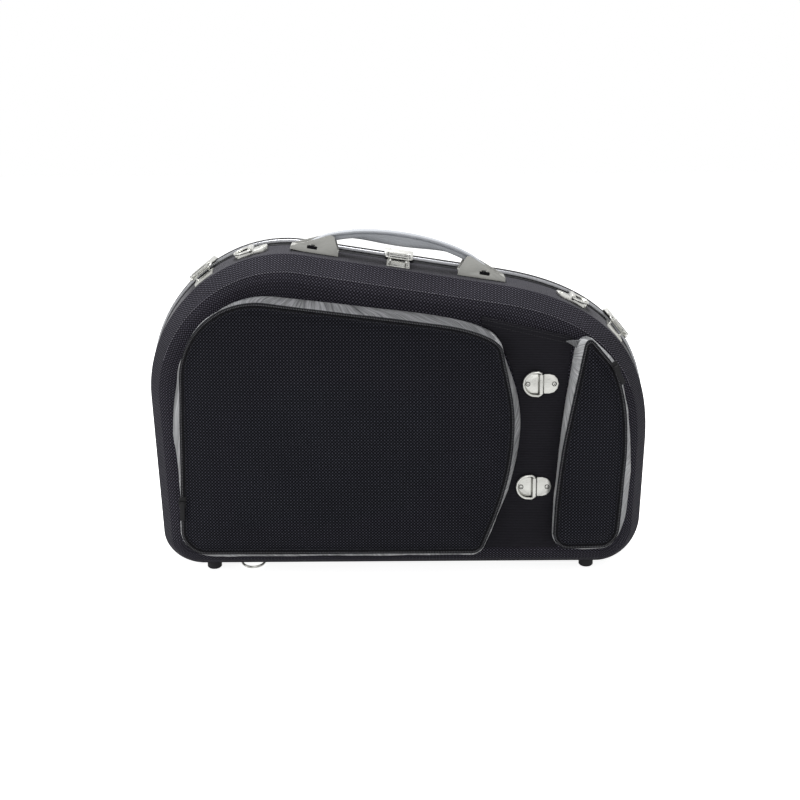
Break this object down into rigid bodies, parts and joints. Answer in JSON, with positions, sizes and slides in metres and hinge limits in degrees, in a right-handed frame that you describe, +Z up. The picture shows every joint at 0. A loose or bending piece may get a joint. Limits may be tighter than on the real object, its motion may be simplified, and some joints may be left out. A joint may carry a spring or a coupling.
{
  "type": "french horn case",
  "caption": "Shaped french horn case: cloth-covered half shells hinged along the base, with metal rims, draw latches, carry handle, strap rings, zipped pockets and a fitted foam lining.",
  "frame": {"origin": "middle of the whole case in X and Y, at the soles of the rubber feet in Z, with the case standing closed", "axes": "+X along the case, from the tall end to the low end; +Y away from the pockets, towards the back half; +Z up, from the hinges to the handle"},
  "size_m": [0.6124, 0.22, 0.4214],
  "materials": {
    "shell_cloth": "charcoal ballistic weave over a moulded shell",
    "pocket_mesh": "black diamond weave",
    "gusset_cloth": "mid grey coarse weave",
    "nylon": "black nylon with fine ribs, slight sheen",
    "plush": "dark blue-black plush over foam",
    "zip_plastic": "black moulded zip",
    "rim_metal": "satin extruded aluminium",
    "nickel": "satin nickel plate on steel",
    "foot_rubber": "black rubber",
    "handle_rubber": "moulded grey soft-touch rubber"
  },
  "bodies": {
    "back_half": {"back_shell": "shell_cloth", "back_rim": "rim_metal", "back_liner": "plush", "foot_back_left": "foot_rubber", "foot_back_right": "foot_rubber", "latch_keeper_left": "nickel", "latch_keeper_centre": "nickel", "latch_keeper_right": "nickel", "hinge_leaf_back_left": "nickel", "hinge_leaf_back_right": "nickel", "hinge_pin_left": "nickel", "hinge_pin_right": "nickel"},
    "front_half": {"front_shell": "shell_cloth", "front_rim": "rim_metal", "front_liner": "plush", "large_pocket_gusset": "gusset_cloth", "large_pocket_zip": "zip_plastic", "small_pocket_gusset": "gusset_cloth", "small_pocket_zip": "zip_plastic", "strap_panel": "nylon", "strap_plate_upper": "nickel", "strap_plate_lower": "nickel", "strap_plate_top_left": "nickel", "strap_plate_top_right": "nickel", "strap_plate_bottom": "nickel", "latch_base_left": "nickel", "latch_base_centre": "nickel", "latch_base_right": "nickel", "hinge_leaf_front_left": "nickel", "hinge_leaf_front_right": "nickel", "foot_front_left": "foot_rubber", "foot_front_right": "foot_rubber", "handle_bracket_left": "nickel", "handle_bracket_right": "nickel"},
    "lever_left": {"latch_lever_left": "nickel"},
    "lever_centre": {"latch_lever_centre": "nickel"},
    "lever_right": {"latch_lever_right": "nickel"},
    "loop_left": {"latch_loop_left": "nickel"},
    "loop_centre": {"latch_loop_centre": "nickel"},
    "loop_right": {"latch_loop_right": "nickel"},
    "ring_upper": {"strap_ring_upper": "nickel"},
    "ring_lower": {"strap_ring_lower": "nickel"},
    "ring_top_left": {"strap_ring_top_left": "nickel"},
    "ring_top_right": {"strap_ring_top_right": "nickel"},
    "ring_bottom": {"strap_ring_bottom": "nickel"},
    "large_flap": {"large_pocket_panel": "pocket_mesh"},
    "small_flap": {"small_pocket_panel": "pocket_mesh"},
    "large_slider": {"large_zip_slider": "zip_plastic"},
    "small_slider": {"small_zip_slider": "zip_plastic"},
    "large_pull": {"large_zip_pull": "zip_plastic"},
    "small_pull": {"small_zip_pull": "zip_plastic"},
    "handle": {"handle_grip": "handle_rubber", "handle_strap": "handle_rubber"},
    "pin_left": {"handle_pin_left": "nickel"},
    "pin_right": {"handle_pin_right": "nickel"}
  },
  "joints": [
    {"name": "lid_hinge", "type": "hinge", "parent": "back_half", "child": "front_half", "pos_m": [0, 0.015, 0.0041], "axis": [1, 0, 0], "range_deg": [0, 165]},
    {"name": "lever_left_turn", "type": "hinge", "parent": "front_half", "child": "lever_left", "pos_m": [-0.23577, -0.019, 0.37252], "axis": [-0.7842, 0, -0.6205], "range_deg": [0, 66]},
    {"name": "lever_centre_turn", "type": "hinge", "parent": "front_half", "child": "lever_centre", "pos_m": [0.00081, -0.019, 0.38855], "axis": [-0.9877, 0, 0.1561], "range_deg": [0, 66]},
    {"name": "lever_right_turn", "type": "hinge", "parent": "front_half", "child": "lever_right", "pos_m": [0.26532, -0.019, 0.30234], "axis": [-0.6171, 0, 0.7869], "range_deg": [0, 66]},
    {"name": "loop_left_turn", "type": "hinge", "parent": "lever_left", "child": "loop_left", "pos_m": [-0.23477, -0.0255, 0.37127], "axis": [0.7842, 0, 0.6205], "range_deg": [0, 72.6]},
    {"name": "loop_centre_turn", "type": "hinge", "parent": "lever_centre", "child": "loop_centre", "pos_m": [0.00056, -0.0255, 0.38697], "axis": [0.9877, 0, -0.1561], "range_deg": [0, 72.6]},
    {"name": "loop_right_turn", "type": "hinge", "parent": "lever_right", "child": "loop_right", "pos_m": [0.26406, -0.0255, 0.30135], "axis": [0.6171, 0, -0.7869], "range_deg": [0, 72.6]},
    {"name": "ring_upper_swing", "type": "hinge", "parent": "front_half", "child": "ring_upper", "pos_m": [0.166, -0.0855, 0.247], "axis": [0, 0, 1], "range_deg": [0, 175]},
    {"name": "ring_lower_swing", "type": "hinge", "parent": "front_half", "child": "ring_lower", "pos_m": [0.16, -0.0855, 0.121], "axis": [0, 0, 1], "range_deg": [0, 175]},
    {"name": "ring_top_left_swing", "type": "hinge", "parent": "front_half", "child": "ring_top_left", "pos_m": [-0.17564, -0.01674, 0.39869], "axis": [-0.0224, 0.9976, 0.0661], "range_deg": [0, 175]},
    {"name": "ring_top_right_swing", "type": "hinge", "parent": "front_half", "child": "ring_top_right", "pos_m": [0.20899, -0.01674, 0.33939], "axis": [-0.0285, -0.9976, -0.0637], "range_deg": [0, 175]},
    {"name": "ring_bottom_swing", "type": "hinge", "parent": "front_half", "child": "ring_bottom", "pos_m": [-0.18422, -0.01522, 0.00641], "axis": [1, 0, 0], "range_deg": [-15, 20]},
    {"name": "large_flap_fold", "type": "hinge", "parent": "front_half", "child": "large_flap", "pos_m": [-0.06, -0.101, 0.0467], "axis": [1, 0, 0], "range_deg": [0, 100]},
    {"name": "small_flap_fold", "type": "hinge", "parent": "front_half", "child": "small_flap", "pos_m": [0.22, -0.101, 0.0518], "axis": [1, 0, 0], "range_deg": [0, 100]},
    {"name": "large_slider_travel", "type": "slide", "parent": "large_flap", "child": "large_slider", "axis": [0.0297, 0, 0.9996], "range_m": [-0.03, 0.14]},
    {"name": "small_slider_travel", "type": "slide", "parent": "small_flap", "child": "small_slider", "axis": [-0.4486, 0, 0.8937], "range_m": [-0.012, 0.012]},
    {"name": "large_pull_swing", "type": "hinge", "parent": "large_slider", "child": "large_pull", "pos_m": [-0.25684, -0.104, 0.1102], "axis": [-0.9996, 0, 0.0297], "range_deg": [0, 150]},
    {"name": "small_pull_swing", "type": "hinge", "parent": "small_slider", "child": "small_pull", "pos_m": [0.24952, -0.104, 0.27103], "axis": [-0.8937, 0, -0.4486], "range_deg": [0, 150]},
    {"name": "handle_lift", "type": "slide", "parent": "front_half", "child": "handle", "axis": [0.1561, 0, 0.9877], "range_m": [0, 0.008], "deforming": ["handle_strap"]},
    {"name": "pin_left_slide", "type": "slide", "parent": "front_half", "child": "pin_left", "axis": [0.9877, 0, -0.1561], "range_m": [0, 0.006]},
    {"name": "pin_right_slide", "type": "slide", "parent": "front_half", "child": "pin_right", "axis": [-0.9877, 0, 0.1561], "range_m": [0, 0.006]}
  ],
  "couplings": [
    {"joint": "loop_left_turn", "follows": "lever_left_turn", "ratio": 1.1},
    {"joint": "loop_centre_turn", "follows": "lever_centre_turn", "ratio": 1.1},
    {"joint": "loop_right_turn", "follows": "lever_right_turn", "ratio": 1.1},
    {"joint": "pin_left_slide", "follows": "handle_lift", "ratio": 0.75},
    {"joint": "pin_right_slide", "follows": "handle_lift", "ratio": 0.75}
  ]
}
